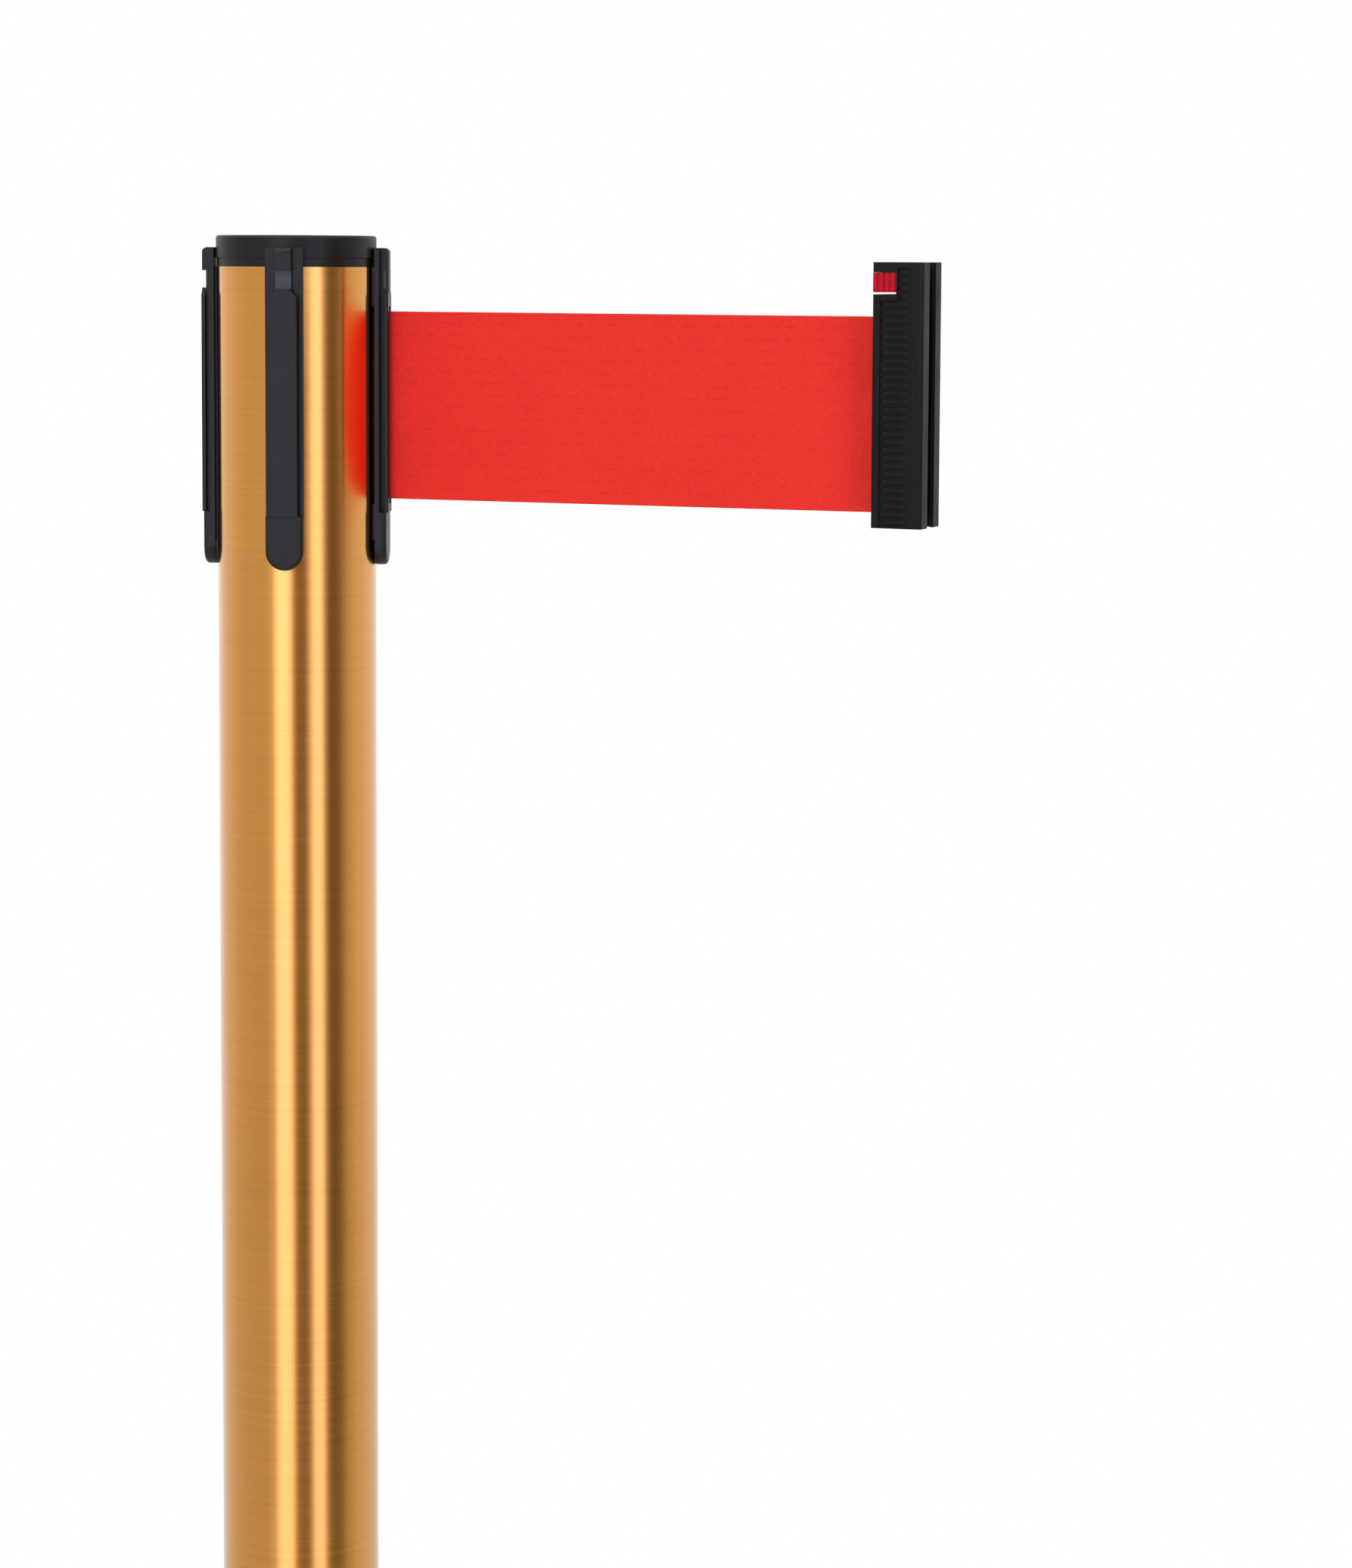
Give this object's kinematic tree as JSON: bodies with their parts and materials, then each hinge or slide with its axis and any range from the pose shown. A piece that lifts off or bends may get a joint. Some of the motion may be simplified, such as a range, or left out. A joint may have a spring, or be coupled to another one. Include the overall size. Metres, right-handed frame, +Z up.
{
  "type": "retractable belt stanchion",
  "caption": "Post on a round weighted base with a spring-wound belt in its head, docking rails on the other sides, and a latching belt end.",
  "frame": {"origin": "on the floor, on the post's axis", "axes": "+Z up the post, +X out of the belt's exit, +Y towards the back docking rail"},
  "size_m": [0.4311, 0.35, 1],
  "materials": {
    "cast_iron": "painted grey iron casting",
    "brushed_brass": "brushed around the post, clear lacquer",
    "spun_brass": "spun, brushed in circles",
    "floor_rubber": "moulded, matt",
    "zinc_steel": "zinc plated",
    "ground_steel": "ground",
    "spring_steel": "blued strip",
    "black_plastic": "fine satin texture",
    "grey_nylon": "moulded nylon",
    "brake_felt": "pressed felt",
    "latch_red": "moulded, satin gloss",
    "belt_red": "woven polyester webbing"
  },
  "bodies": {
    "post": {"base_weight": "cast_iron", "base_cover": "spun_brass", "floor_ring": "floor_rubber", "post_collar": "spun_brass", "base_washer": "zinc_steel", "base_bolt": "zinc_steel", "post_tube": "brushed_brass", "foot_plug": "cast_iron", "receiver_back": "black_plastic", "receiver_left": "black_plastic", "receiver_front": "black_plastic", "belt_exit_guide": "black_plastic", "cassette_frame": "black_plastic", "cassette_floor": "zinc_steel", "rail_screws": "zinc_steel", "cassette_lock_screw": "zinc_steel", "top_cap": "black_plastic", "arbor": "ground_steel", "arbor_screws": "zinc_steel", "brake_washer": "brake_felt", "belt_lead": "belt_red"},
    "spool": {"spool": "grey_nylon", "spool_cover": "grey_nylon", "spool_bush_bottom": "grey_nylon", "spool_bush_top": "grey_nylon", "mainspring": "spring_steel", "belt_wound": "belt_red"},
    "belt": {"belt_span": "belt_red"},
    "belt_tip": {"belt_loop": "belt_red", "belt_anchor_pin": "ground_steel"},
    "belt_end": {"belt_end_body": "black_plastic", "belt_end_plug": "black_plastic", "latch_spring": "spring_steel"},
    "latch": {"latch_slider": "latch_red"}
  },
  "joints": [
    {"name": "spool_spin", "type": "hinge", "parent": "post", "child": "spool", "pos_m": [0, 0, 0.9325], "axis": [0, 0, 1], "range_deg": [-5150, 560], "deforming": ["belt_wound", "mainspring"]},
    {"name": "belt_swing", "type": "hinge", "parent": "post", "child": "belt", "pos_m": [0.0365, 0, 0.9325], "axis": [0, 0, 1], "range_deg": [-28.2, 61.8]},
    {"name": "belt_pull", "type": "slide", "parent": "belt", "child": "belt_tip", "axis": [0.9573, -0.289, 0], "range_m": [-0.1926, 1.9], "deforming": ["belt_span"]},
    {"name": "belt_end_swivel", "type": "hinge", "parent": "belt_tip", "child": "belt_end", "pos_m": [0.23907, -0.06116, 0.9325], "axis": [0, 0, 1], "range_deg": [-8.3, 15.7]},
    {"name": "latch_slide", "type": "slide", "parent": "belt_end", "child": "latch", "axis": [-0.9367, 0.3502, 0], "range_m": [0, 0.0035], "stiffness_N_per_m": 800, "springref_m": -0.002, "deforming": ["latch_spring"]}
  ],
  "couplings": [
    {"joint": "spool_spin", "follows": "belt_pull", "rad_per_m": -46.7}
  ]
}
